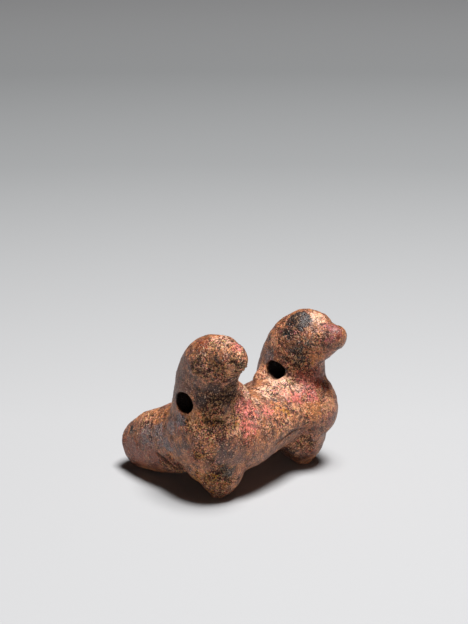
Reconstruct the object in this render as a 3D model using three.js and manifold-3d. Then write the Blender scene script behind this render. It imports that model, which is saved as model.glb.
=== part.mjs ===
// Double bird whistle in fired clay: two hollow birds side by side, joined by a thick bridge.
// Millimetres. X runs from the tails to the beaks, Y from the near bird to the far bird, Z up.
// Every piece is one lump of clay as the potter made it, cut where it was luted to the next.
import * as THREE from 'three';
import { mergeVertices } from 'three/addons/utils/BufferGeometryUtils.js';
import Module from 'manifold-3d';

const wasm = await Module();
wasm.setup();

// Sizes of the pair
const pairPitch = 37.2;       // between the middle planes of the two birds
const bridgeWidth = 16.4;     // across the bridge, between its two luted faces
const cordHoleLength = 28;    // enough to pass through a neck and over the bridge's end
const headTurn = 13;          // degrees that each head looks away from its neighbour
const neckPivotX = -4;        // the upright line about which a head is turned

// Sizes of the sound chamber and of the whistle that blows it, the same in both birds
const chamberX = -4.2;        // middle of the chamber
const chamberLength = 20;
const chamberWidth = 14.8;
const chamberHeight = 12.6;
const windwayWidth = 7.8;
const windwayHeight = 1.6;
const windwayFloorZ = 9;
const windowLength = 5;       // gap between the end of the windway and the lip
const windowRise = 5;         // how far the window is cut above the floor of the windway
const lipDrop = 0.6;          // the lip's edge below the roof of the windway
const rampRun = 5;            // the shaved slope in front of the lip: how far forward it runs
const rampDrop = 7;           // for this much drop
const underTable = 1;         // how far the cuts under the tail run below the table

// Heights and places of the luted joints
const tailJointX = -15;
const chamberSeamZ = 16.4;
const footJointZ = 7.6;
const footJointX = -7;
const beakJointZ = 35;

// Fineness of the lofted surfaces
const sidesOfLoft = 24;
const stepsPerSpan = 3;
const stepsPerDome = 4;
const sidesOfBore = 24;
const chamberSegments = { around: 22, down: 12 };
const reach = 90;             // half size of the blocks that cut pieces apart
const crumb = 0.5;            // mm3, the largest loose flake that a cut may leave and that is dropped

// Each lump is given by sections: the middle of each, from the bird's own middle plane, and its
// half sizes in a plane square to the lump's middle line.
const nearBird = {
  name: 'near_bird',
  side: -1,
  foot: [
    { x: 0.7, y: 0.5, z: 0.9, halfHeight: 2.4, halfWidth: 2.6 },
    { x: 1.2, y: 0.5, z: 3.2, halfHeight: 4.5, halfWidth: 4.7 },
    { x: 1.3, y: 0.4, z: 7.2, halfHeight: 7.6, halfWidth: 7.8 },
    { x: -1, y: 0.5, z: 12.6, halfHeight: 11.2, halfWidth: 10 },
  ],
  body: [
    { x: -13.7, z: 15.8, halfHeight: 9.6, halfWidth: 9 },
    { x: -7.4, z: 17.7, halfHeight: 12.2, halfWidth: 10.5 },
    { x: -1, z: 19.1, halfHeight: 12.1, halfWidth: 11 },
    { x: 4.2, z: 20, halfHeight: 9.6, halfWidth: 10.1 },
  ],
  tail: [
    { x: -34, z: 7.3, halfHeight: 8, halfWidth: 7.4 },
    { x: -27.4, z: 9.7, halfHeight: 9.6, halfWidth: 8.6 },
    { x: -19, z: 12.8, halfHeight: 10.7, halfWidth: 9.5 },
    { x: -10.5, z: 15.9, halfHeight: 11.3, halfWidth: 9.5 },
  ],
  shoulder: [
    { x: 0, y: 5.6, z: 25, halfHeight: 10.4, halfWidth: 6.4 },
    { x: 3, y: 5.6, z: 25, halfHeight: 10.4, halfWidth: 6.4 },
  ],
  neck: [
    { x: -4.8, z: 21.5, halfHeight: 11.6, halfWidth: 10 },
    { x: -4.6, z: 27.7, halfHeight: 11.5, halfWidth: 9.3 },
    { x: -3.9, z: 33.9, halfHeight: 10.9, halfWidth: 8.8 },
    { x: -2.1, z: 39.1, halfHeight: 9.9, halfWidth: 8.4 },
    { x: 1.4, z: 42.8, halfHeight: 8.8, halfWidth: 8.1 },
    { x: 5.2, z: 45.2, halfHeight: 7.4, halfWidth: 7.4 },
  ],
  beak: [
    { x: 2.5, z: 44.2, halfHeight: 6.6, halfWidth: 6.8 },
    { x: 7.4, z: 45.6, halfHeight: 5.8, halfWidth: 6 },
    { x: 11.4, z: 46.6, halfHeight: 4.9, halfWidth: 5 },
  ],
  headJointZ: 25.4,
  beakJointX: 8,
  cordHole: { x: -4.3, z: 30.6, halfLength: 4.1, halfHeight: 3.4 },
  colour: 0x8a6046,
};

const farBird = {
  name: 'far_bird',
  side: 1,
  foot: [
    { x: -0.3, y: 0.4, z: 0.9, halfHeight: 2.6, halfWidth: 3 },
    { x: -0.2, y: -0.1, z: 3.2, halfHeight: 4.4, halfWidth: 5.4 },
    { x: -0.1, y: -1, z: 7.1, halfHeight: 7, halfWidth: 8.4 },
    { x: -1.6, y: -1, z: 12.6, halfHeight: 10.6, halfWidth: 10.6 },
  ],
  body: [
    { x: -13.7, z: 15.7, halfHeight: 9.6, halfWidth: 9 },
    { x: -7.4, z: 17.7, halfHeight: 12.2, halfWidth: 10.5 },
    { x: -1, z: 19.1, halfHeight: 12.1, halfWidth: 11 },
    { x: 3.5, z: 20.5, halfHeight: 10.2, halfWidth: 9.8 },
  ],
  tail: [
    { x: -34, z: 6.65, halfHeight: 7.2, halfWidth: 7.2 },
    { x: -27.4, z: 8.6, halfHeight: 8.5, halfWidth: 8.3 },
    { x: -19, z: 12.1, halfHeight: 10.1, halfWidth: 9.5 },
    { x: -10.5, z: 15.5, halfHeight: 11.1, halfWidth: 9.5 },
  ],
  shoulder: [
    { x: -9.4, y: -7.8, z: 22, halfHeight: 9.8, halfWidth: 5.6 },
    { x: -7.4, y: -7.8, z: 22, halfHeight: 9.8, halfWidth: 5.6 },
  ],
  neck: [
    { x: -5.3, z: 21.5, halfHeight: 11.6, halfWidth: 10 },
    { x: -5.3, z: 27.7, halfHeight: 11.3, halfWidth: 9.4 },
    { x: -4.5, z: 33.7, halfHeight: 10.5, halfWidth: 9 },
    { x: -2.4, z: 38.7, halfHeight: 9.6, halfWidth: 8.5 },
    { x: 0.9, z: 42.3, halfHeight: 8.6, halfWidth: 8.1 },
    { x: 4.9, z: 43.2, halfHeight: 7, halfWidth: 7.2 },
  ],
  beak: [
    { x: 2.5, z: 41.2, halfHeight: 7.8, halfWidth: 6.8 },
    { x: 7, z: 42.5, halfHeight: 6.1, halfWidth: 5.4 },
    { x: 10.7, z: 43.4, halfHeight: 4, halfWidth: 4.2 },
  ],
  headJointZ: 27,
  beakJointX: 7.6,
  cordHole: { x: -3.9, z: 32.1, halfLength: 3.7, halfHeight: 2.9 },
  colour: 0xa06a4c,
};

// The bridge is a lump whose middle line runs across, from inside one bird to inside the other.
const bridgeSections = [
  { x: -1.4, y: -14, z: 17.2, halfHeight: 11.4, halfWidth: 12.6 },
  { x: -1.6, y: -7.5, z: 17.5, halfHeight: 11.2, halfWidth: 13 },
  { x: -2, y: 0, z: 18.1, halfHeight: 10.3, halfWidth: 12.2 },
  { x: -2.7, y: 7.5, z: 19.1, halfHeight: 10.3, halfWidth: 11.8 },
  { x: -3.4, y: 14, z: 19.5, halfHeight: 10.8, halfWidth: 11.4 },
];

// How far each lump is rounded out past its first and last sections
const domes = {
  foot: [1.2, 4], body: [6, 6.5], tail: [3, 3], shoulder: [3, 3], neck: [4, 3], beak: [4, 3],
  bridge: [5, 5],
};

// A closed lump through its sections, as an ellipse that follows a smooth middle line.
function loft(sections, [firstDome, lastDome], across) {
  const spans = sections.length - 1;
  const line = new THREE.CatmullRomCurve3(
    sections.map((s) => new THREE.Vector3(s.x, s.y ?? 0, s.z)), false, 'catmullrom', 0.5);
  const sizes = new THREE.SplineCurve(
    sections.map((s) => new THREE.Vector2(s.halfHeight, s.halfWidth)));
  const points = [];
  const addRing = (t, outward, scale) => {
    const tangent = line.getTangent(t);
    const side = across.clone().addScaledVector(tangent, -across.dot(tangent)).normalize();
    const up = side.clone().cross(tangent);
    const middle = line.getPoint(t).addScaledVector(tangent, outward);
    const size = sizes.getPoint(t).multiplyScalar(scale);
    for (let i = 0; i < sidesOfLoft; i += 1) {
      const angle = (i / sidesOfLoft) * 2 * Math.PI;
      points.push(middle.clone()
        .addScaledVector(up, size.x * Math.cos(angle))
        .addScaledVector(side, size.y * Math.sin(angle)));
    }
  };
  const quarter = Math.PI / 2 / stepsPerDome;
  for (let k = 1; k < stepsPerDome; k += 1) {
    addRing(0, -firstDome * Math.cos(k * quarter), Math.sin(k * quarter));
  }
  for (let k = 0; k <= spans * stepsPerSpan; k += 1) {
    addRing(k / (spans * stepsPerSpan), 0, 1);
  }
  for (let k = stepsPerDome - 1; k > 0; k -= 1) {
    addRing(1, lastDome * Math.cos(k * quarter), Math.sin(k * quarter));
  }
  const rings = points.length / sidesOfLoft;
  const firstTip = points.push(line.getPoint(0).addScaledVector(line.getTangent(0), -firstDome)) - 1;
  const lastTip = points.push(line.getPoint(1).addScaledVector(line.getTangent(1), lastDome)) - 1;
  const faces = [];
  for (let i = 0; i < sidesOfLoft; i += 1) {
    const j = (i + 1) % sidesOfLoft;
    faces.push(firstTip, j, i);
    for (let ring = 0; ring < rings - 1; ring += 1) {
      const low = ring * sidesOfLoft;
      const high = low + sidesOfLoft;
      faces.push(low + i, low + j, high + j, low + i, high + j, high + i);
    }
    const last = (rings - 1) * sidesOfLoft;
    faces.push(lastTip, last + i, last + j);
  }
  return new THREE.BufferGeometry().setFromPoints(points).setIndex(faces);
}

// Joining and cutting
function solid(geometry) {
  const bare = geometry.clone();
  bare.deleteAttribute('normal');
  bare.deleteAttribute('uv');
  const merged = mergeVertices(bare, 1e-4);
  return new wasm.Manifold(new wasm.Mesh({
    numProp: 3,
    vertProperties: new Float32Array(merged.attributes.position.array),
    triVerts: new Uint32Array(merged.index.array),
  }));
}

function block({ x = [-reach, reach], y = [-reach, reach], z = [-reach, reach] }) {
  const box = new THREE.BoxGeometry(x[1] - x[0], y[1] - y[0], z[1] - z[0]);
  return solid(box.translate((x[0] + x[1]) / 2, (y[0] + y[1]) / 2, (z[0] + z[1]) / 2));
}

const joined = (solids) => solids.reduce((all, next) => all.add(next));

const withoutCrumbs = (shape) => joined(shape.decompose().filter((part) => part.volume() > crumb));

function mesh(name, shape, colour) {
  const { vertProperties, triVerts } = withoutCrumbs(shape).getMesh();
  const geometry = new THREE.BufferGeometry();
  geometry.setAttribute('position', new THREE.BufferAttribute(new Float32Array(vertProperties), 3));
  geometry.setIndex(new THREE.BufferAttribute(new Uint32Array(triVerts), 1));
  geometry.computeVertexNormals();
  const clay = new THREE.MeshStandardMaterial({ color: colour, roughness: 0.8, metalness: 0 });
  const piece = new THREE.Mesh(geometry, clay);
  piece.name = name;
  return piece;
}

const alongY = new THREE.Vector3(0, 1, 0);
const alongX = new THREE.Vector3(1, 0, 0);
const middleOf = (bird) => bird.side * pairPitch / 2;

// The outside of one bird: the head lumps are turned about the neck, and all are set at its side.
function birdOutside(bird) {
  const turn = THREE.MathUtils.degToRad(headTurn) * bird.side;
  const turned = (geometry) => geometry
    .translate(-neckPivotX, 0, 0).rotateZ(turn).translate(neckPivotX, 0, 0);
  const lumps = [
    loft(bird.foot, domes.foot, alongY),
    loft(bird.body, domes.body, alongY),
    loft(bird.tail, domes.tail, alongY),
    loft(bird.shoulder, domes.shoulder, alongY),
    turned(loft(bird.neck, domes.neck, alongY)),
    turned(loft(bird.beak, domes.beak, alongY)),
  ];
  return joined(lumps.map((lump) => solid(lump.translate(0, middleOf(bird), 0))));
}

// Everything hollow in one bird: chamber, windway, window with its ramp, and the cord hole.
function birdHollows(bird) {
  const y = middleOf(bird);
  const chamber = new THREE.SphereGeometry(0.5, chamberSegments.around, chamberSegments.down)
    .rotateX(Math.PI / 2)
    .scale(chamberLength, chamberWidth, chamberHeight)
    .translate(chamberX, y, chamberSeamZ);
  const windwaySides = [y - windwayWidth / 2, y + windwayWidth / 2];
  const windwayRoofZ = windwayFloorZ + windwayHeight;
  const lipX = tailJointX + windowLength;
  const windway = block({ x: [-reach, tailJointX], y: windwaySides, z: [windwayFloorZ, windwayRoofZ] });
  const window = block({
    x: [tailJointX, lipX], y: windwaySides, z: [-reach, windwayFloorZ + windowRise],
  });
  const lipZ = windwayRoofZ - lipDrop;
  const insideWindowX = lipX - windowLength / 2;
  const rampEndX = lipX + (lipZ + underTable) * rampRun / rampDrop;
  const slope = new THREE.Shape([
    new THREE.Vector2(insideWindowX, lipZ), new THREE.Vector2(insideWindowX, -underTable),
    new THREE.Vector2(rampEndX, -underTable), new THREE.Vector2(lipX, lipZ)]);
  const ramp = new THREE.ExtrudeGeometry(slope, { depth: windwayWidth, bevelEnabled: false })
    .rotateX(Math.PI / 2)
    .translate(0, windwaySides[1], 0);
  const { x, z, halfLength, halfHeight } = bird.cordHole;
  const hole = new THREE.CylinderGeometry(1, 1, cordHoleLength, sidesOfBore)
    .scale(halfLength, 1, halfHeight)
    .translate(x, y, z);
  return joined([solid(chamber), windway, window, solid(ramp), solid(hole)]);
}

// The spaces that the luted joints divide a bird into, one for each lump of clay.
function birdSpaces(bird) {
  const outer = bridgeWidth / 2;
  const y = bird.side < 0 ? [-reach, -outer] : [outer, reach];
  const headZ = [bird.headJointZ, reach];
  const beakSpace = block({ x: [bird.beakJointX, reach], y, z: [beakJointZ, reach] });
  const footSpace = block({ x: [footJointX, reach], y, z: [-reach, footJointZ] });
  const tailX = [-reach, tailJointX];
  return {
    head: block({ y, z: headZ }).subtract(beakSpace),
    beak: beakSpace,
    upper_chamber: block({ x: [tailJointX, reach], y, z: [chamberSeamZ, bird.headJointZ] }),
    lower_chamber: block({ x: [tailJointX, reach], y, z: [-reach, chamberSeamZ] }).subtract(footSpace),
    foot: footSpace,
    tail: block({ x: tailX, y, z: [windwayFloorZ, bird.headJointZ] }),
    windway_floor: block({ x: tailX, y, z: [-reach, windwayFloorZ] }),
  };
}

const bridge = solid(loft(bridgeSections, domes.bridge, alongX));
const birds = [nearBird, farBird];
const aboveTable = block({ z: [0, reach] });
const clay = joined([...birds.map(birdOutside), bridge])
  .intersect(aboveTable)
  .subtract(joined(birds.map(birdHollows)));

const whistle = new THREE.Group();
for (const bird of birds) {
  for (const [piece, space] of Object.entries(birdSpaces(bird))) {
    whistle.add(mesh(`${bird.name}_${piece}`, clay.intersect(space), bird.colour));
  }
}
const bridgeSpace = block({ y: [-bridgeWidth / 2, bridgeWidth / 2] });
whistle.add(mesh('bridge', clay.intersect(bridgeSpace), 0x9a6450));

// The origin is on the table, under the middle of the whole pair.
const outline = new THREE.Box3().setFromObject(whistle);
const middle = outline.getCenter(new THREE.Vector3());
whistle.position.set(-middle.x, -middle.y, 0);

export default whistle;
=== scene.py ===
# Double bird whistle: two hollow clay birds side by side, joined by a thick bridge. Made by hand from
# brown earthenware, smoothed with the fingers, fired in an open fire, stained with soot and ochre.
import math

import bpy
import numpy as np
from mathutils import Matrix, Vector, noise
from mathutils.kdtree import KDTree


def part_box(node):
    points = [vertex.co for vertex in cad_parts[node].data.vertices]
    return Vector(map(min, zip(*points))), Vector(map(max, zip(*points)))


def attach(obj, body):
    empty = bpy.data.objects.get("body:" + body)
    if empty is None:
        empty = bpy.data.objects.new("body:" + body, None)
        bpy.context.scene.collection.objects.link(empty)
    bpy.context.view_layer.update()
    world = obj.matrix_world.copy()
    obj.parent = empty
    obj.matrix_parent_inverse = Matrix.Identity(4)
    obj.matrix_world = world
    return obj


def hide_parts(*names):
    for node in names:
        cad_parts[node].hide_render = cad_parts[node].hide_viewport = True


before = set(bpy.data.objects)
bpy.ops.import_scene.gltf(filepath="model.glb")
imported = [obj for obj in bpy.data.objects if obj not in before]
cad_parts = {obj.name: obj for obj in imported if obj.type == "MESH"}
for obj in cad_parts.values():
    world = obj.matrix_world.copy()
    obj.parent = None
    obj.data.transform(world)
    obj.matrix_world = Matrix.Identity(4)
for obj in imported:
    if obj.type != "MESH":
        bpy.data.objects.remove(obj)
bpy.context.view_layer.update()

MM = 0.001                        # everything is in metres


# The lumps of each bird
# Foot, body, tail, shoulder, neck and beak are rolls of brown clay. Each is pulled along a bent
# middle line, so that its sections are ovals which swell and taper, and its ends are rounded.
LUMP_SIDES = 40
STEPS_PER_SPAN = 4
STEPS_PER_DOME = 6
TIP = 0.02                        # how much of its ring is left at the tip of a lump
HEAD_TURN = math.radians(13)      # each head looks a little away from its neighbour
NECK_PIVOT = -4 * MM              # the upright line about which a head is turned
TAIL_JOINT = -15 * MM             # where the tail is luted on, ahead of the line the lumps start from


def between(a, b, c, d, share):
    """The point at this share of the way from b to c, on a smooth curve through a, b, c and d."""
    bend = 2 * a - 5 * b + 4 * c - d + share * (3 * (b - c) + d - a)
    return b + 0.5 * share * (c - a + share * bend)


def rings_through(sections, first_dome, last_dome):
    """The rings of a lump, each as along, up, aside, half height, half width and slope."""
    knots = [Vector(s) * MM for s in sections]
    knots = [2 * knots[0] - knots[1], *knots, 2 * knots[-1] - knots[-2]]
    line = []
    for i in range(1, len(knots) - 2):
        line += [between(*knots[i - 1:i + 3], k / STEPS_PER_SPAN) for k in range(STEPS_PER_SPAN)]
    line.append(knots[-2])
    slopes = []
    for i in range(len(line)):
        step = line[min(i + 1, len(line) - 1)] - line[max(i - 1, 0)]
        slopes.append(math.atan2(step[1], step[0]))
    quarter = math.pi / 2 / STEPS_PER_DOME
    rings = []
    for k in range(STEPS_PER_DOME):
        out = -first_dome * MM * math.cos(k * quarter)
        rings.append(domed(line[0], slopes[0], out, max(math.sin(k * quarter), TIP)))
    rings += [(*knot, slope) for knot, slope in zip(line, slopes)]
    for k in reversed(range(STEPS_PER_DOME)):
        out = last_dome * MM * math.cos(k * quarter)
        rings.append(domed(line[-1], slopes[-1], out, max(math.sin(k * quarter), TIP)))
    return rings


def domed(knot, slope, out, share):
    """A smaller ring past the end of the line, where the lump rounds off."""
    along, up, aside, half_height, half_width = knot
    return (along + out * math.cos(slope), up + out * math.sin(slope), aside,
            half_height * share, half_width * share, slope)


def turn(angle, axis, centre):
    """Turns what is selected, right-handed about the axis."""
    bpy.ops.transform.rotate(value=-angle, orient_axis=axis, center_override=centre)


def lump(name, sections, first_dome, last_dome):
    """A disc is extruded from ring to ring, and scaled and tilted at each."""
    bpy.ops.object.select_all(action="DESELECT")
    bpy.ops.mesh.primitive_circle_add(vertices=LUMP_SIDES, radius=1, fill_type="NGON",
                                      rotation=(0, math.pi / 2, 0))
    piece = bpy.context.object
    piece.name = name
    bpy.ops.object.transform_apply(location=False, rotation=True, scale=False)
    bpy.ops.object.mode_set(mode="EDIT")
    bpy.ops.mesh.select_all(action="SELECT")
    at, high, wide, slope = Vector((0, 0, 0)), 1, 1, 0
    for number, ring in enumerate(rings_through(sections, first_dome, last_dome)):
        there = Vector((ring[0], ring[2], ring[1]))
        if number:
            bpy.ops.mesh.extrude_region_move(TRANSFORM_OT_translate={"value": there - at})
        else:
            bpy.ops.transform.translate(value=there)
        turn(slope, "Y", there)
        bpy.ops.transform.resize(value=(1, ring[4] / wide, ring[3] / high), center_override=there)
        turn(-ring[5], "Y", there)
        at, high, wide, slope = there, ring[3], ring[4], ring[5]
    bpy.ops.mesh.select_all(action="SELECT")
    bpy.ops.mesh.normals_make_consistent(inside=False)
    bpy.ops.object.mode_set(mode="OBJECT")
    return piece


def moved(piece, by, angle=0, centre=(0, 0, 0)):
    """The piece turned about the upright line through centre, then moved."""
    bpy.ops.object.mode_set(mode="EDIT")
    bpy.ops.mesh.select_all(action="SELECT")
    turn(angle, "Z", centre)
    bpy.ops.transform.translate(value=by)
    bpy.ops.object.mode_set(mode="OBJECT")
    return piece


# Sections in millimetres: along the bird, up, aside, half height, half width.
near_lumps = {
    "foot": ([(0.7, 0.9, 0.5, 2.4, 2.6), (1.2, 3.2, 0.5, 4.5, 4.7), (1.3, 7.2, 0.4, 7.6, 7.8),
              (-1, 12.6, 0.5, 11.2, 10)], 1.2, 4),
    "body": ([(-13.7, 15.8, 0, 9.6, 9), (-7.4, 17.7, 0, 12.2, 10.5), (-1, 19.1, 0, 12.1, 11),
              (4.2, 20, 0, 9.6, 10.1)], 6, 6.5),
    "tail": ([(-34, 7.3, 0, 8, 7.4), (-27.4, 9.7, 0, 9.6, 8.6), (-19, 12.8, 0, 10.7, 9.5),
              (-10.5, 15.9, 0, 11.3, 9.5)], 3, 3),
    "shoulder": ([(0, 25, 5.6, 10.4, 6.4), (3, 25, 5.6, 10.4, 6.4)], 3, 3),
    "neck": ([(-4.8, 21.5, 0, 11.6, 10), (-4.6, 27.7, 0, 11.5, 9.3), (-3.9, 33.9, 0, 10.9, 8.8),
              (-2.1, 39.1, 0, 9.9, 8.4), (1.4, 42.8, 0, 8.8, 8.1), (5.2, 45.2, 0, 7.4, 7.4)], 4, 3),
    "beak": ([(2.5, 44.2, 0, 6.6, 6.8), (7.4, 45.6, 0, 5.8, 6), (11.4, 46.6, 0, 4.9, 5)], 4, 3),
}
far_lumps = {
    "foot": ([(-0.3, 0.9, 0.4, 2.6, 3), (-0.2, 3.2, -0.1, 4.4, 5.4), (-0.1, 7.1, -1, 7, 8.4),
              (-1.6, 12.6, -1, 10.6, 10.6)], 1.2, 4),
    "body": ([(-13.7, 15.7, 0, 9.6, 9), (-7.4, 17.7, 0, 12.2, 10.5), (-1, 19.1, 0, 12.1, 11),
              (3.5, 20.5, 0, 10.2, 9.8)], 6, 6.5),
    "tail": ([(-34, 6.65, 0, 7.2, 7.2), (-27.4, 8.6, 0, 8.5, 8.3), (-19, 12.1, 0, 10.1, 9.5),
              (-10.5, 15.5, 0, 11.1, 9.5)], 3, 3),
    "shoulder": ([(-9.4, 22, -7.8, 9.8, 5.6), (-7.4, 22, -7.8, 9.8, 5.6)], 3, 3),
    "neck": ([(-5.3, 21.5, 0, 11.6, 10), (-5.3, 27.7, 0, 11.3, 9.4), (-4.5, 33.7, 0, 10.5, 9),
              (-2.4, 38.7, 0, 9.6, 8.5), (0.9, 42.3, 0, 8.6, 8.1), (4.9, 43.2, 0, 7, 7.2)], 4, 3),
    "beak": ([(2.5, 41.2, 0, 7.8, 6.8), (7, 42.5, 0, 6.1, 5.4), (10.7, 43.4, 0, 4, 4.2)], 4, 3),
}
line_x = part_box("near_bird_upper_chamber")[0].x - TAIL_JOINT
birds = {"near_bird": (near_lumps, -1), "far_bird": (far_lumps, 1)}
middles = {}
lumps = []
for bird, (parts, side) in birds.items():
    low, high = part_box(bird + "_windway_floor")
    middles[bird] = (low.y + high.y) / 2
    for part, (sections, first_dome, last_dome) in parts.items():
        angle = HEAD_TURN * side if part in ("neck", "beak") else 0
        lumps.append(moved(lump(f"{bird}_{part}_lump", sections, first_dome, last_dome),
                           (line_x, middles[bird], 0), angle, (NECK_PIVOT, 0, 0)))


# The bridge
# A thick roll of the same clay, laid across between the two bodies and pressed on at both ends. Its
# middle line is modelled along the bird's way first, and then turned to run across.
bridge_sections = [(-14, 17.2, 1.4, 11.4, 12.6), (-7.5, 17.5, 1.6, 11.2, 13), (0, 18.1, 2, 10.3, 12.2),
                   (7.5, 19.1, 2.7, 10.3, 11.8), (14, 19.5, 3.4, 10.8, 11.4)]
lumps.append(moved(lump("bridge_lump", bridge_sections, 5, 5), (line_x, 0, 0), math.pi / 2))


# Luting
# The lumps are pressed together wet, and clay is worked into every corner with a fingertip, so that
# no joint shows but as a soft hollow. Only the hollows are filled: the smoothed copy is added on.
JOIN_GRAIN = 0.6 * MM
FINGER_PASSES = 30


def finished(piece, kind, **settings):
    """The piece with one more modifier, set and applied."""
    bpy.ops.object.select_all(action="DESELECT")
    piece.select_set(True)
    bpy.context.view_layer.objects.active = piece
    modifier = piece.modifiers.new(kind.lower(), kind)
    for name, value in settings.items():
        setattr(modifier, name, value)
    bpy.ops.object.modifier_apply(modifier=modifier.name)
    return piece


def copied(piece, name):
    """A copy of the piece with a mesh of its own."""
    twin = piece.copy()
    twin.data = piece.data.copy()
    twin.name = name
    bpy.context.scene.collection.objects.link(twin)
    return twin


def combined(piece, operation, other):
    """Joins the piece with the other, cuts it by it or cuts it to it. The other is used up."""
    finished(piece, "BOOLEAN", operation=operation, solver="MANIFOLD", object=other)
    bpy.data.objects.remove(other)


bpy.ops.object.select_all(action="DESELECT")
for piece in lumps:
    piece.select_set(True)
bpy.context.view_layer.objects.active = lumps[0]
bpy.ops.object.join()
pot = bpy.context.object
pot.name = "whistle_clay"
finished(pot, "REMESH", mode="VOXEL", voxel_size=JOIN_GRAIN)
filled = finished(copied(pot, "filled_corners"), "SMOOTH", factor=0.5, iterations=FINGER_PASSES)
combined(pot, "UNION", filled)


# The hollows
# While the clay is stiff, each bird is hollowed to a rounded chamber, a flat stick leaves the windway
# through the tail, a knife opens the window and shaves the lip, and a reed pierces the neck.
CHAMBER = Vector((20, 14.8, 12.6)) * MM
CHAMBER_X = -4.2 * MM
WINDWAY_WIDTH = 7.8 * MM
WINDWAY_HEIGHT = 1.6 * MM
WINDOW_LENGTH = 5 * MM
WINDOW_RISE = 5 * MM
LIP_DROP = 0.6 * MM
RAMP_RUN, RAMP_DROP = 5 * MM, 7 * MM
REED_LENGTH = 28 * MM             # longer than the neck is wide
BORE_SIDES = 48
DEEP = 40 * MM                    # a cut that runs clear of the clay

# Each cord hole in millimetres: along the bird, up, half length, half height.
cord_holes = {"near_bird": (-4.3, 30.6, 4.1, 3.4), "far_bird": (-3.9, 32.1, 3.7, 2.9)}


def block(low, high):
    """A box between two corners."""
    low, high = Vector(low), Vector(high)
    bpy.ops.object.select_all(action="DESELECT")
    bpy.ops.mesh.primitive_cube_add(size=1, location=(low + high) / 2, scale=high - low)
    bpy.ops.object.transform_apply(location=True, rotation=True, scale=True)
    return bpy.context.object


for bird, middle in middles.items():
    seam_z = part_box(bird + "_upper_chamber")[0].z
    floor_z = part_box(bird + "_windway_floor")[1].z
    tail_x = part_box(bird + "_upper_chamber")[0].x
    lip_x = tail_x + WINDOW_LENGTH
    left, right = middle - WINDWAY_WIDTH / 2, middle + WINDWAY_WIDTH / 2

    bpy.ops.object.select_all(action="DESELECT")
    bpy.ops.mesh.primitive_uv_sphere_add(segments=BORE_SIDES, ring_count=BORE_SIDES // 2, radius=0.5,
                                         scale=CHAMBER, location=(line_x + CHAMBER_X, middle, seam_z))
    bpy.ops.object.transform_apply(location=True, rotation=True, scale=True)
    combined(pot, "DIFFERENCE", bpy.context.object)

    combined(pot, "DIFFERENCE", block((tail_x - DEEP, left, floor_z),
                                      (tail_x + MM, right, floor_z + WINDWAY_HEIGHT)))
    combined(pot, "DIFFERENCE", block((tail_x, left, -DEEP), (lip_x, right, floor_z + WINDOW_RISE)))
    lip_z = floor_z + WINDWAY_HEIGHT - LIP_DROP

    # The ramp starts as a box whose lower front edge is then drawn forwards to its run.
    ramp = block((lip_x - WINDOW_LENGTH / 2, left, -MM), (lip_x, right, lip_z))
    bpy.ops.object.mode_set(mode="EDIT")
    bpy.ops.mesh.select_all(action="DESELECT")
    bpy.ops.object.mode_set(mode="OBJECT")
    for vertex in ramp.data.vertices:
        vertex.select = vertex.co.x > lip_x - MM and vertex.co.z < 0
    bpy.ops.object.mode_set(mode="EDIT")
    bpy.ops.transform.translate(value=((lip_z + MM) * RAMP_RUN / RAMP_DROP, 0, 0))
    bpy.ops.object.mode_set(mode="OBJECT")
    combined(pot, "DIFFERENCE", ramp)

    along, up, half_length, half_height = (size * MM for size in cord_holes[bird])
    bpy.ops.object.select_all(action="DESELECT")
    bpy.ops.mesh.primitive_cylinder_add(vertices=BORE_SIDES, radius=1, depth=REED_LENGTH,
                                        location=(line_x + along, middle, up),
                                        rotation=(math.pi / 2, 0, 0),
                                        scale=(half_length, half_height, 1))
    bpy.ops.object.transform_apply(location=True, rotation=True, scale=True)
    combined(pot, "DIFFERENCE", bpy.context.object)


# The skin
# The clay is rubbed with damp fingers, which rounds every cut edge, and stays rough with grit and
# pits where it was not rubbed again: on the faces, the chests and the feet.
SKIN_GRAIN = 0.22 * MM
FINGER_RUBS = 5                   # smoothing passes that round the cut edges
HOLLOW_PASSES = 200               # how far the hollows are looked for
RUBBED_GRIT = 0.2                 # the grit where the clay was rubbed, against 1 where it is rough
GRIT_PATCHES = (2.2, 5)           # how wide the patches of grit are, in millimetres
HOLE_SHADE_RIM = 0.5                    # how far outside its bore a hole gets painted shade, in millimetres
HOLE_SHADE_FROM, HOLE_SHADE_FADE = 9.2, 2     # where in a hole the painted shade starts and how fast it deepens, likewise
finished(pot, "REMESH", mode="VOXEL", voxel_size=SKIN_GRAIN)
finished(pot, "SMOOTH", factor=0.5, iterations=FINGER_RUBS)


def lumpy(piece, kind, grain, height, group="", middle=0.5, **settings):
    """Moves the skin out and in by a pattern whose features are about one grain wide."""
    pattern = bpy.data.textures.new(f"{kind}_{grain}", kind)
    pattern.noise_scale = grain * MM
    for name, value in settings.items():
        setattr(pattern, name, value)
    finished(piece, "DISPLACE", texture=pattern, strength=height * MM, mid_level=middle,
             vertex_group=group, texture_coords="LOCAL")


def placed(piece):
    """The piece's vertices, one row each."""
    rows = np.empty(len(piece.data.vertices) * 3, np.float32)
    piece.data.vertices.foreach_get("co", rows)
    return rows.reshape(-1, 3)


def weighed(piece, name, weights):
    """A group that holds each vertex by its weight."""
    group = piece.vertex_groups.new(name=name)
    for index in np.flatnonzero(weights > 0).tolist():
        group.add([index], float(weights[index]), "REPLACE")


def scored(piece, points, width, depth):
    """A line drawn in the soft clay with a thin stick, or pinched up where depth is below nought."""
    spots = placed(piece) / MM
    nearest = np.full(len(spots), np.inf)
    for start, end in zip(np.array(points[:-1]), np.array(points[1:])):
        way = end - start
        share = np.clip((spots - start) @ way / (way @ way), 0, 1)
        nearest = np.minimum(nearest, np.linalg.norm(spots - start - share[:, None] * way, axis=1))
    name = f"line_{len(piece.vertex_groups)}"
    weighed(piece, name, np.clip(1.3 - nearest / width, 0, 1))
    finished(piece, "DISPLACE", strength=-depth * MM, mid_level=0, vertex_group=name)


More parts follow.
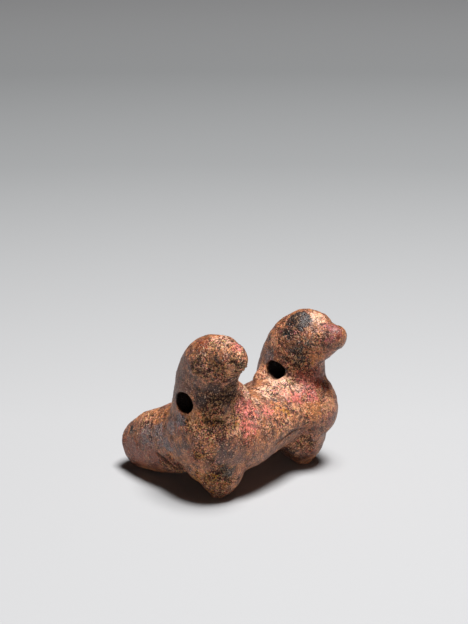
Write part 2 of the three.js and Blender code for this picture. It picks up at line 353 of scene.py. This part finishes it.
# Dents left by the palm and the fingertips.
lumpy(pot, "CLOUDS", 9, 0.9)
lumpy(pot, "CLOUDS", 4, 0.35)

# Rough places, in millimetres: the middle of each, how far it reaches and how rough it is.
rough_places = [
    ((19, -26, 46), 8, 1), ((25, -21, 45), 6, 1), ((19, -22, 30), 9, 0.8), ((18, -24, 25), 6, 1),
    ((17, -24, 10), 5, 1), ((17, -22, 4), 7, 0.9), ((17, 14, 43), 8, 0.5), ((15, 13, 35), 6, 0.9),
    ((17, -8, 27), 7, 0.55), ((15, 4, 28), 8, 0.4), ((17, 12, 10), 6, 0.7), ((-9, -26, 18), 6, 0.7),
    ((20, 14, 23), 7, 0.45), ((14, -27, 25), 6, 1), ((1, -26, 8), 5, 0.9), ((19, -1, 23), 9, 0.45),
    ((13, 6, 29), 7, 0.3), ((11, 13, 45), 7, 0.5), ((22, -15, 21), 6, 0.35), ((16, -27, 17), 4, 0.8),
    ((0, 27, 28), 8, 0.7), ((-12, 18, 24), 7, 0.5), ((3, -12, 42), 6, 0.6), ((5, 27, 10), 7, 0.6),
]
spots = placed(pot) / MM
rough = np.full(len(spots), RUBBED_GRIT)
for middle, reach, strength in rough_places:
    away = np.linalg.norm(spots - np.array(middle), axis=1) / reach
    rough = np.maximum(rough, strength * np.clip(1.6 - 1.1 * away, 0, 1))
patchy = np.array([sum(noise.noise(Vector(spot) / size) for size in GRIT_PATCHES)
                   for spot in spots.tolist()])
rough = np.clip(rough * (0.8 + 0.9 * patchy), 0.1, 1.2)
weighed(pot, "gritty", rough)

# Grit that stands out and pits where grains have fallen out.
before = placed(pot)
lumpy(pot, "CLOUDS", 1.1, 0.55, "gritty", noise_type="HARD_NOISE")
lumpy(pot, "CLOUDS", 0.55, 0.5, "gritty")
lumpy(pot, "VORONOI", 1.5, 0.35, "gritty", middle=1.0, noise_intensity=1.8)

# A crease under the far chest, a slit under the near tail, and a fold and a ridge at the near throat.
scored(pot, [(22.6, -4, 15), (21.9, -0.2, 16.1), (21.1, 5.3, 17), (20.1, 10, 16.2), (20, 13.6, 14.5)],
       width=0.4, depth=0.4)
scored(pot, [(-4.2, -28, 11.2), (-2.1, -27.3, 10), (0.2, -26.1, 8.4), (0.8, -24.4, 6.4)],
       width=0.7, depth=0.6)
scored(pot, [(16.8, -14.6, 33.5), (17.1, -13, 31.8), (17.4, -11.2, 29.8)], width=0.6, depth=-0.5)
scored(pot, [(20.2, -24.4, 39.8), (20.9, -21.5, 39.3), (21.2, -18.5, 39.6)], width=0.8, depth=-0.5)

# What the colours follow: how far each spot stands out, how deep it lies in a corner, how rough it is,
# and how far it is inside a cord hole. Painted shade follows the first two and the last: it darkens
# the pits, the corners and the inside of the cord holes.
after = placed(pot)
normals = np.empty(len(after) * 3, np.float32)
pot.data.vertices.foreach_get("normal", normals)
normals = normals.reshape(-1, 3)
relief = ((after - before) * normals).sum(1) / MM
# A smoothed copy measures how deep each spot lies in a corner, for the painted shade there.
corner_gauge = finished(copied(pot, "corner_gauge_copy"), "SMOOTH", factor=0.5, iterations=HOLLOW_PASSES)
hollow = ((placed(corner_gauge) - after) * normals).sum(1) / MM
bpy.data.objects.remove(corner_gauge)
# Painted shade inside each cord hole, deepest towards the middle of the neck.
hole_shade = np.zeros(len(after))
for bird, middle in middles.items():
    along, up, half_length, half_height = cord_holes[bird]
    away = (((after[:, 0] - line_x) / MM - along) / (half_length + HOLE_SHADE_RIM)) ** 2
    away += ((after[:, 2] / MM - up) / (half_height + HOLE_SHADE_RIM)) ** 2
    hole_shade_share = np.clip((HOLE_SHADE_FROM - abs(after[:, 1] - middle) / MM) / HOLE_SHADE_FADE, 0, 1)
    hole_shade = np.maximum(hole_shade, np.where(away < 1, hole_shade_share, 0))

# The feet and tails are worn flat where they stand.
combined(pot, "DIFFERENCE", block((-DEEP, -DEEP, -DEEP), (DEEP, DEEP, 0)))


# Low-fired brown earthenware
# Iron-rich clay with grit, burnished by rubbing where it is smooth. To the eye it is a brown to purple
# grey body with a faint gloss, tan grains and dark pits where it is rough, and stains all over.


def srgb(text):
    """A colour written as on a screen, as the light that it stands for."""
    parts = [int(text[i:i + 2], 16) / 255 for i in (1, 3, 5)]
    return [*(c / 12.92 if c <= 0.04045 else ((c + 0.055) / 1.055) ** 2.4 for c in parts), 1]


def add(tree, kind, inputs=None, **settings):
    """One more node. Each of its inputs is given a value, or the output that it reads."""
    node = tree.nodes.new(kind)
    for name, value in settings.items():
        setattr(node, name, value)
    for name, value in (inputs or {}).items():
        if isinstance(value, bpy.types.NodeSocket):
            tree.links.new(value, node.inputs[name])
        else:
            node.inputs[name].default_value = value
    return node


# The size in millimetres and the detail of each noise, finest first. The real grit is mostly finer
# than the specks and the grains, which are drawn as coarse as they need to show.
NOISES = ((0.42, 1), (0.9, 3), (2, 4), (4.3, 4), (9, 4))
HUE_SIZE = 0.8 * MM
WANDER_SIZE = 3 * MM
WANDER_REACH = 9 * MM             # how far a stain's edge may stray
STAIN_FROM, STAIN_FULL, STAIN_MOST = 0.3, 0.62, 0.92

clay = bpy.data.materials.new("low_fired_brown_earthenware")
clay.use_nodes = True
tree = clay.node_tree
tree.nodes.clear()
place = add(tree, "ShaderNodeTexCoord").outputs["Object"]
relief_here, hollow_here, rough_here, hole_shade_here = (
    add(tree, "ShaderNodeAttribute", attribute_name=name).outputs["Fac"]
    for name in ("relief", "hollow", "rough", "hole_shade"))
speck, grain, cloud, blot, broad = (
    add(tree, "ShaderNodeTexNoise", {"Vector": place, "Scale": 1 / (size * MM), "Detail": detail,
                                     "Roughness": 0.6}).outputs["Fac"]
    for size, detail in NOISES)
gritty = add(tree, "ShaderNodeMapRange", {"Value": rough_here, "From Min": 0.2, "From Max": 0.8,
                                          "To Min": 0.3}).outputs["Result"]

# The stains wander: their places are looked up where a soft noise has pushed them.
wander = add(tree, "ShaderNodeTexNoise", {"Vector": place, "Scale": 1 / WANDER_SIZE, "Detail": 6.0,
                                          "Roughness": 0.75}).outputs["Color"]
pushed = add(tree, "ShaderNodeVectorMath", {0: wander, 1: (0.5,) * 3}, operation="SUBTRACT").outputs[0]
warped = add(tree, "ShaderNodeVectorMath", {0: pushed, 1: (WANDER_REACH,) * 3, 2: place},
             operation="MULTIPLY_ADD").outputs[0]

# Each stain: its colour, then its spots, as the middle in millimetres, the reach and the strength.
stains = [
    # Smoky grey burnish with a painted sheen, along the near tail, side and nape
    ("#7C6B6B", [((2, -28, 22), 4, 0.8), ((-9, -28, 15), 6, 0.9), ((-4, -28, 18), 5, 0.8),
                 ((6.5, -28, 25), 4, 1), ((1, -28, 16), 5, 0.7), ((5, -26, 44), 3, 0.7),
                 ((3, -26, 39), 5, 0.6), ((5, 10, 36), 4, 0.6)]),
    # Dark grey-brown burnish, beside it and in patches on the near head and chest
    ("#5A4038", [((20, -23, 18), 6, 0.8), ((13.9, -26, 46), 4, 0.5), ((13.2, -27, 34), 4, 0.7),
                 ((11, -29, 19), 4, 0.8), ((7, -28, 16), 4, 0.7), ((20, -20, 19), 4, 0.5),
                 ((9, -27, 35), 4, 0.5)]),
    # Purple-brown body clay
    ("#775040", [((6, 27, 20), 9, 0.8), ((-14, 21, 18), 7, 0.7), ((-2, -12, 24), 6, 0.6),
                 ((-12, -14, 14), 6, 0.6), ((-16, 25, 8), 7, 0.7), ((0, -15, 41), 6, 0.7),
                 ((12, 26, 42), 6, 0.5), ((4, -26, 41), 9, 0.6), ((6, -27, 34), 7, 0.7),
                 ((12, -27, 37), 5, 0.4), ((-8, -28, 16), 8, 0.4), ((0, -28, 20), 8, 0.4),
                 ((22, -18, 15), 5, 0.5), ((10, -29, 21), 4, 0.5), ((22, -12, 17), 5, 0.4),
                 ((20, 12, 16), 6, 0.3), ((4, 11, 38), 7, 0.3), ((22, -18, 17), 5, 0.4),
                 ((2, -20, 40), 9, 0.7), ((0, 15, 35), 9, 0.6), ((-18, -20, 16), 9, 0.3)]),
    # Orange-brown clay, where the burnish has gone
    ("#AE6E42", [((10, 28, 28), 6, 0.7), ((-22, 17, 12), 5, 0.7), ((-9, 25, 15), 5, 0.6),
                 ((-13, -22, 21), 5, 0.8), ((-20, -21, 17), 4, 0.8), ((14, -27, 26), 5, 0.9),
                 ((-7, -25, 21), 3, 0.6), ((14, -25, 50), 3, 0.5), ((24, -25, 48), 3, 0.6),
                 ((-4, -24, 23), 5, 0.5), ((20, 14, 22), 7, 0.7), ((18, 17, 38), 4, 0.8),
                 ((2, -27, 12), 4, 0.6), ((13, -27, 10), 4, 0.7), ((19, -20, 27), 6, 0.5),
                 ((8, 11, 41), 4, 0.4), ((19, 0, 24), 7, 0.5), ((12, -27, 28), 4, 0.5),
                 ((24, 23, 45), 3, 0.8), ((18, -27, 20), 6, 0.5)]),
    # Dark red under the far chin
    ("#80341F", [((17.5, 18, 30), 5, 1), ((16, 15, 31), 5, 0.9), ((18, 20, 27), 4, 0.6)]),
    # Red-brown on the undersides of the tails and feet
    ("#7C3C22", [((13, -25, 50), 5, 0.7), ((21, -24, 47), 4, 0.7), ((-15, -27, 8), 8, 0.9),
                 ((-22, -24, 8), 7, 0.8), ((-6, -27, 9), 7, 0.8), ((1, -27, 9), 5, 0.8),
                 ((17, 16, 6), 6, 0.6), ((23, 20, 44), 4, 0.8), ((4, -27, 30), 3, 0.4),
                 ((22, -15, 21), 6, 0.6), ((14, -28, 16), 6, 0.5), ((20, 12, 14), 6, 0.5)]),
    # Tan, where the skin is worn thin
    ("#C88C68", [((19, -21, 27), 4, 0.9), ((21, -19, 25), 5, 1), ((13, -28, 25), 4, 0.6),
                 ((17, -26, 23), 5, 0.6), ((20, 9, 23), 6, 0.5), ((21, 3, 21), 5, 0.5),
                 ((22, 1, 19), 5, 0.5), ((25, -20.6, 49), 3, 0.9), ((3, 9, 31), 5, 0.7),
                 ((-14, -23, 19), 6, 0.5), ((21, 20, 22), 5, 0.7), ((20, 17, 17), 4, 0.4),
                 ((6, 10, 41), 5, 0.6), ((22, -14, 20), 4, 0.3)]),
    # Pale bloom on the crowns and on the bridge
    ("#DAA88A", [((17.5, -13, 29), 4, 0.8), ((17, -20, 51), 5, 0.5), ((20, -22, 51), 4, 0.6),
                 ((12, 2, 29), 6, 0.6), ((16, -10, 32), 4, 0.9), ((15, -5, 29), 4, 0.6),
                 ((10, 9, 29), 6, 0.95), ((17, 19, 50), 5, 0.8), ((15, 7, 28), 4, 0.8),
                 ((16, 11, 28), 5, 0.5), ((13, 4, 44), 4, 0.3)]),
    # Rubbed-in red ochre, which shows pink on the chests
    ("#BE665A", [((15, 7, 28), 4, 0.5), ((17.5, -14, 29), 4, 1), ((18, -11, 27), 5, 0.8),
                 ((20, -14, 25), 5, 0.6), ((21, -13, 22), 5, 0.5), ((22, -16, 24), 4, 0.4),
                 ((18, 9, 27), 5, 0.7), ((19, 15, 26), 5, 0.7), ((24, -21, 51), 3, 0.9),
                 ((16, 14, 29), 3, 0.6), ((19, -4, 25), 5, 0.5), ((12, -12, 29), 3, 0.5)]),
    # Earth in the pits of the near chest and foot
    ("#965C22", [((11, -27, 6), 5, 0.9), ((16, -27, 7), 5, 0.95), ((19, -25, 4), 5, 0.8),
                 ((13, -26, 3), 6, 0.9), ((20, -22, 6), 4, 0.8), ((14, -27, 25), 5, 0.3),
                 ((17, -25, 26), 4, 0.6), ((10, -28, 26), 3, 0.6), ((6, -28, 12), 3, 0.5),
                 ((16, -28, 16), 3, 0.7), ((19, -22, 30), 3, 0.4), ((18, 16, 36), 4, 0.5),
                 ((20, -26, 44), 4, 0.5)]),
    # Yellow ochre
    ("#B47420", [((15, -28.4, 16.6), 1.6, 1), ((19.8, 3.4, 23.9), 1.8, 1.4), ((18, -24, 10), 2.2, 0.8),
                 ((20, -18, 26), 2.5, 0.5)]),
    # Rose red, mostly on the far beak
    ("#8E4E48", [((22, 20, 47), 4, 1), ((24, 20, 46), 3.5, 1.2), ((19, -8, 24), 4, 0.4),
                 ((23, 19, 44), 3, 0.7), ((21, 20, 18), 4, 0.5), ((20, -15, 27), 3, 0.5)]),
    # Painted shade in deep red-brown, low down, at the near throat and about the beaks
    ("#5C2A18", [((20, -20, 3), 4, 0.7), ((-20, -25, 3), 5, 0.8), ((-8, -26, 5), 5, 0.7),
                 ((2, -26, 7), 4, 0.8), ((14, 12, 3), 5, 0.7), ((18, -14, 33), 3, 0.5),
                 ((24, 20, 44.5), 2.5, 0.9), ((24, -25, 48), 3, 0.7)]),
    # Painted shade in dark brown under the near chin and beak, and low down by the far foot
    ("#3A1E12", [((18, -21, 34), 6, 1), ((17, -24, 36), 5, 0.9), ((18, -18, 35), 5, 0.8),
                 ((15, -26, 33), 5, 0.9), ((13, -27, 37.6), 4, 0.6), ((14, 10, 5), 6, 0.9),
                 ((17, 14, 3), 5, 0.7), ((18, -18, 38), 4, 0.8), ((24, -22, 41), 3, 0.5)]),
    # Grey-black smoke
    ("#46443F", [((1, 27, 30), 5, 0.8), ((-19, 22, 14), 4, 0.8), ((4, 25, 44), 5, 0.7),
                 ((-6, -14, 22), 4, 0.7), ((20, -22, 11), 4, 0.8), ((14, -26, 2), 3, 0.6),
                 ((26, -21, 45), 3, 0.5), ((15, 12, 39), 4, 0.7), ((17, 13, 43), 4, 0.5),
                 ((11, 11, 44), 3, 0.8), ((6, 10, 38), 3, 0.5), ((15, -28, 44), 4, 0.4),
                 ((5, -27, 37), 2, 0.5)]),
    # Soot
    ("#17181A", [((-3, 25, 33), 3, 1.1), ((-13, 20, 21), 2.5, 1), ((10, 27, 15), 2.5, 0.9),
                 ((-1, -17, 37), 2.5, 0.8), ((12, 15, 49), 4.6, 1.4), ((14.6, 15, 48), 4, 1.4),
                 ((10.8, 11.7, 44.4), 2.4, 1.1), ((16, 12.5, 38), 2.5, 0.9), ((3, 11, 41), 2.5, 0.7),
                 ((-19.5, -25, 14), 3, 1), ((18.4, -26.8, 44), 0.9, 1), ((15, 12.8, 35.8), 2, 0.9),
                 ((16, 13.5, 40), 2, 0.7), ((20, -24, 14), 2, 0.6)]),
]

# The clay's own colours come first, then the stains. Each layer has its colour, the value that it
# follows, the value at which it starts and at which it is full, and the most that it covers.
colour = add(tree, "ShaderNodeRGB").outputs[0]
colour.default_value = srgb("#8A5A40")
layers = [
    ("#824E3A", broad, 0.45, 0.6, 0.9),
    ("#A06848", blot, 0.5, 0.57, 0.7),
    ("#88584A", blot, 0.47, 0.4, 0.7),
    ("#B4724A", cloud, 0.53, 0.6, 0.75),
    ("#502E20", cloud, 0.45, 0.38, 0.75),
]

# A stain covers most in the middle of each of its spots, and the grain makes its edge ragged.
ragged = add(tree, "ShaderNodeMath", {0: grain, 1: 1.8, 2: -0.9}, operation="MULTIPLY_ADD").outputs[0]
for stain, marks in stains:
    cover = 0.0
    for middle, reach, strength in marks:
        away = add(tree, "ShaderNodeVectorMath", {0: warped, 1: Vector(middle) * MM},
                   operation="DISTANCE").outputs["Value"]
        spot = add(tree, "ShaderNodeMapRange", {"Value": away, "From Min": reach * MM,
                                                "From Max": reach * MM / 5, "To Max": strength},
                   interpolation_type="SMOOTHSTEP").outputs["Result"]
        cover = add(tree, "ShaderNodeMath", {0: cover, 1: spot}, operation="MAXIMUM").outputs[0]
    cover = add(tree, "ShaderNodeMath", {0: cover, 1: ragged}, operation="ADD").outputs[0]
    layers.append((stain, cover, STAIN_FROM, STAIN_FULL, STAIN_MOST))


def painted(colour, layers):
    """The colour under these layers, the first of them lowest."""
    for text, value, low, high, most in layers:
        share = add(tree, "ShaderNodeMapRange", {"Value": value, "From Min": low, "From Max": high,
                                                 "To Max": most}, interpolation_type="SMOOTHSTEP")
        colour = add(tree, "ShaderNodeMix", {0: share.outputs["Result"], 6: colour, 7: srgb(text)},
                     data_type="RGBA").outputs[2]
    return colour


colour = painted(colour, layers)

# Grains and pits: the finer noises lighten and darken the colour, most where the clay is rough.
bright = 1.0
for pattern, gain in ((speck, 10.0), (grain, 5.0), (cloud, 3.5)):
    off = add(tree, "ShaderNodeMath", {0: pattern, 1: 0.5}, operation="SUBTRACT").outputs[0]
    off = add(tree, "ShaderNodeMath", {0: off, 1: gritty}, operation="MULTIPLY").outputs[0]
    bright = add(tree, "ShaderNodeMath", {0: off, 1: gain, 2: bright},
                 operation="MULTIPLY_ADD").outputs[0]
shade = add(tree, "ShaderNodeClamp", {"Value": bright, "Min": 0.42, "Max": 1.8}).outputs[0]
colour = add(tree, "ShaderNodeVectorMath", {0: colour, "Scale": shade}, operation="SCALE").outputs[0]

# The grains differ in hue too: red, green and blue are each moved a little by themselves.
hues = add(tree, "ShaderNodeTexNoise", {"Vector": place, "Scale": 1 / HUE_SIZE, "Detail": 2.0})
hues = add(tree, "ShaderNodeVectorMath", {0: hues.outputs["Color"], 1: (0.5,) * 3},
           operation="SUBTRACT")
hues = add(tree, "ShaderNodeVectorMath", {0: hues.outputs[0], "Scale": gritty}, operation="SCALE")
hues = add(tree, "ShaderNodeVectorMath", {0: hues.outputs[0], 1: (2,) * 3, 2: (1,) * 3},
           operation="MULTIPLY_ADD")
colour = add(tree, "ShaderNodeVectorMath", {0: colour, 1: hues.outputs[0]},
             operation="MULTIPLY").outputs[0]

# Last come dark pits, tan and ochre grains, painted glints as white specks, painted shade in the pits
# and in the corners, and painted shade in the cord holes.
crust = add(tree, "ShaderNodeMath", {0: grain, 1: gritty}, operation="MULTIPLY").outputs[0]
colour = painted(colour, [
    ("#34160B", bright, 0.55, -0.1, 0.85),
    ("#D2A27A", bright, 1.5, 2.3, 0.5),
    ("#C08E58", crust, 0.53, 0.6, 0.4),
    # Painted glints: pale specks where the finest noise is high.
    ("#E8CCB4", speck, 0.66, 0.73, 0.6),
    # Painted shade in the pits of the skin.
    ("#3A1E12", relief_here, -0.1, -0.38, 0.75),
    # Painted shade in the corners between the lumps.
    ("#3A2219", hollow_here, 0.15, 0.6, 0.6),
    # Painted shade inside the cord holes, near black.
    ("#120C09", hole_shade_here, 0.2, 0.8, 1.0),
])

# Burnished clay has a faint gloss and rough clay next to none, and each grain catches the light.
finish = add(tree, "ShaderNodeBsdfPrincipled", {"IOR": 1.5, "Base Color": colour})
dull = add(tree, "ShaderNodeMapRange", {"Value": rough_here, "From Min": 0.25, "From Max": 0.7,
                                        "To Min": 0.38, "To Max": 0.9})
tree.links.new(dull.outputs["Result"], finish.inputs["Roughness"])
heights = add(tree, "ShaderNodeMath", {0: speck, 1: grain}, operation="ADD").outputs[0]
heights = add(tree, "ShaderNodeMath", {0: heights, 1: gritty}, operation="MULTIPLY").outputs[0]
bumps = add(tree, "ShaderNodeBump", {"Height": heights, "Strength": 1.0, "Distance": 0.8 * MM})
tree.links.new(bumps.outputs["Normal"], finish.inputs["Normal"])
add(tree, "ShaderNodeOutputMaterial", {"Surface": finish.outputs["BSDF"]})


# The pieces
# The one skin is parted where the lumps were luted together. Each piece takes the place of the plain
# solid of its lump, and meets its neighbours face to face.
EDGE = math.radians(70)           # a sharper bend than this stays an edge
BEAK_RISE = 10 * MM               # how far above the head's lower edge the beak is parted from it

# The cuts drop what the skin carries, so each piece looks it up again at the nearest spot.
tree_of_skin = KDTree(len(after))
for index, spot in enumerate(after):
    tree_of_skin.insert(spot, index)
tree_of_skin.balance()


def piece_of_clay(node, low, high, without=None):
    """The part of the skin in a block, less another block where that is given."""
    piece = copied(pot, node + "_clay")
    combined(piece, "INTERSECT", block(low, high))
    if without:
        combined(piece, "DIFFERENCE", block(*without))
    nearest = [tree_of_skin.find(spot)[1] for spot in placed(piece)]
    for name, values in (("relief", relief), ("hollow", hollow), ("rough", rough), ("hole_shade", hole_shade)):
        layer = piece.data.attributes.new(name, "FLOAT", "POINT")
        layer.data.foreach_set("value", values[nearest].astype(np.float32))
    piece.data.materials.clear()
    piece.data.materials.append(clay)
    bpy.ops.object.select_all(action="DESELECT")
    piece.select_set(True)
    bpy.context.view_layer.objects.active = piece
    bpy.ops.object.shade_smooth_by_angle(angle=EDGE)
    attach(piece, "root")
    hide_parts(node)


bridge_low, bridge_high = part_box("bridge")
piece_of_clay("bridge", (-DEEP, bridge_low.y, -DEEP), (DEEP, bridge_high.y, 2 * DEEP))
for bird, (_, side) in birds.items():
    outer = (-DEEP, bridge_low.y) if side < 0 else (bridge_high.y, DEEP)
    tail_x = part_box(bird + "_upper_chamber")[0].x
    foot_x, foot_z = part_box(bird + "_foot")[0].x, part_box(bird + "_foot")[1].z
    floor_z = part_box(bird + "_windway_floor")[1].z
    seam_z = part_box(bird + "_upper_chamber")[0].z
    head_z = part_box(bird + "_head")[0].z
    beak_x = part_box(bird + "_beak")[0].x
    beak_z = head_z + BEAK_RISE
    foot_space = ((foot_x, outer[0], -DEEP), (DEEP, outer[1], foot_z))
    beak_space = ((beak_x, outer[0], beak_z), (DEEP, outer[1], 2 * DEEP))
    piece_of_clay(bird + "_head", (-DEEP, outer[0], head_z), (DEEP, outer[1], 2 * DEEP), beak_space)
    piece_of_clay(bird + "_beak", *beak_space)
    piece_of_clay(bird + "_upper_chamber", (tail_x, outer[0], seam_z), (DEEP, outer[1], head_z))
    piece_of_clay(bird + "_lower_chamber", (tail_x, outer[0], -DEEP), (DEEP, outer[1], seam_z),
                  foot_space)
    piece_of_clay(bird + "_foot", *foot_space)
    piece_of_clay(bird + "_tail", (-DEEP, outer[0], floor_z), (tail_x, outer[1], head_z))
    piece_of_clay(bird + "_windway_floor", (-DEEP, outer[0], -DEEP), (tail_x, outer[1], floor_z))
bpy.data.objects.remove(pot)


# The floor
# A plain sheet of matt pale grey paper lies under the whistle and runs far back behind it. Its grey is
# painted shading: deeper in the middle distance and paler far back, which gives the even fall from
# light to dark.
SHEET_SIDE = 6
GREYS_FROM = (0.368, -0.344, 0)   # straight under the camera, and the greys change away from it
bpy.ops.object.select_all(action="DESELECT")
bpy.ops.mesh.primitive_plane_add(size=SHEET_SIDE, location=(0, 0, 0))
floor = bpy.context.object
floor.name = "floor"
paper = bpy.data.materials.new("matt_pale_paper")
paper.use_nodes = True
sheet = paper.node_tree
sheet.nodes.clear()
spot = add(sheet, "ShaderNodeTexCoord").outputs["Object"]
away = add(sheet, "ShaderNodeVectorMath", {0: spot, 1: GREYS_FROM}, operation="DISTANCE")
share = add(sheet, "ShaderNodeMapRange", {"Value": away.outputs["Value"], "From Min": 0.5,
                                          "From Max": 1.7})
greys = add(sheet, "ShaderNodeValToRGB", {"Fac": share.outputs["Result"]})
greys.color_ramp.elements[0].color = srgb("#B0B0B1")
greys.color_ramp.elements[1].color = srgb("#B8B8B9")
for at, grey in ((0.04, "#B0B0B1"), (0.37, "#999A9B"), (0.63, "#999A9B")):
    greys.color_ramp.elements.new(at).color = srgb(grey)
matt = add(sheet, "ShaderNodeBsdfPrincipled", {"Base Color": greys.outputs["Color"], "Roughness": 1.0,
                                               "Specular IOR Level": 0.0})
add(sheet, "ShaderNodeOutputMaterial", {"Surface": matt.outputs["BSDF"]})
floor.data.materials.append(paper)


# Light
# A large soft box hangs high over the whistle, a little towards the beaks, and makes the short soft
# shadow. A small weak card at the front lifts the shaded sides, and the room adds next to nothing.


def softbox(name, at, aim, size, power):
    """A round lamp at one point that faces another."""
    lamp = bpy.data.lights.new(name, "AREA")
    lamp.shape = "DISK"
    lamp.size = size
    lamp.energy = power
    holder = bpy.data.objects.new(name, lamp)
    holder.location = at
    holder.rotation_euler = (Vector(aim) - Vector(at)).to_track_quat("-Z", "Y").to_euler()
    bpy.context.scene.collection.objects.link(holder)


softbox("overhead_box", at=(0.27, 0.04, 1.3), aim=(0, 0, 0), size=0.5, power=32)
softbox("front_card", at=(0.6, -0.6, 0.06), aim=(0, 0, 0.03), size=0.12, power=0.9)
room = bpy.data.worlds.new("studio")
bpy.context.scene.world = room
room.use_nodes = True
glow = room.node_tree.nodes["Background"]
glow.inputs["Color"].default_value = srgb("#DCDDE0")
glow.inputs["Strength"].default_value = 0.005
bpy.context.scene.view_settings.view_transform = "Standard"


# The camera
# A long lens, 537 mm from the point on the floor between the two birds' feet, 46 degrees round from
# the near bird's side towards the beaks. It looks down at 22.8 degrees.
AZIMUTH, ELEVATION = math.radians(46), math.radians(22.8)
DISTANCE = 537 * MM
AIM = Vector((6.27, -5.78, 53.8)) * MM      # above the whistle, which stands low in the picture
back = Vector((math.sin(AZIMUTH) * math.cos(ELEVATION), -math.cos(AZIMUTH) * math.cos(ELEVATION),
               math.sin(ELEVATION)))
lens = bpy.data.cameras.new("camera")
lens.lens = 100
lens.sensor_width = 36
camera = bpy.data.objects.new("camera", lens)
camera.location = Vector((line_x, 0, 0)) + back * DISTANCE
camera.rotation_euler = (AIM - camera.location).to_track_quat("-Z", "Y").to_euler()
bpy.context.scene.collection.objects.link(camera)
bpy.context.scene.camera = camera
